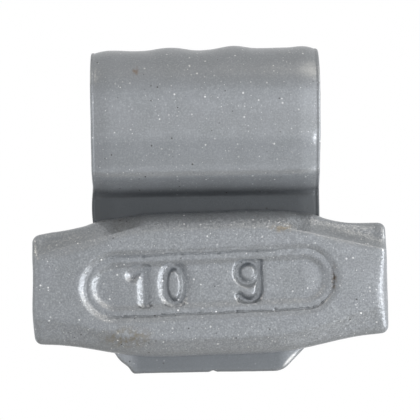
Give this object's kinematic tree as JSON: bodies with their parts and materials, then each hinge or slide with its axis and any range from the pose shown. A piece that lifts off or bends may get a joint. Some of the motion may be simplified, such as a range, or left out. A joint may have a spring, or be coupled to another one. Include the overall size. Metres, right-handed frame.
{
  "type": "wheel balance weight",
  "caption": "Clip-on wheel balance weight: a barrel-shaped grey-painted casting on a bent spring-steel strip that hooks over the lip of a car wheel's rim.",
  "frame": {"origin": "on the axis of the clip's jaw, half-way along the strip's width", "axes": "+X along the rim, +Y back towards the tyre, +Z away from the wheel's hub; the marked face looks along -Y"},
  "size_m": [0.0282, 0.0076, 0.0258],
  "materials": {
    "painted_casting": "satin grey metallic paint on a zinc casting",
    "painted_spring_steel": "satin grey metallic paint on spring steel"
  },
  "bodies": {
    "root": {"weight_body": "painted_casting", "spring_clip": "painted_spring_steel"}
  },
  "joints": []
}
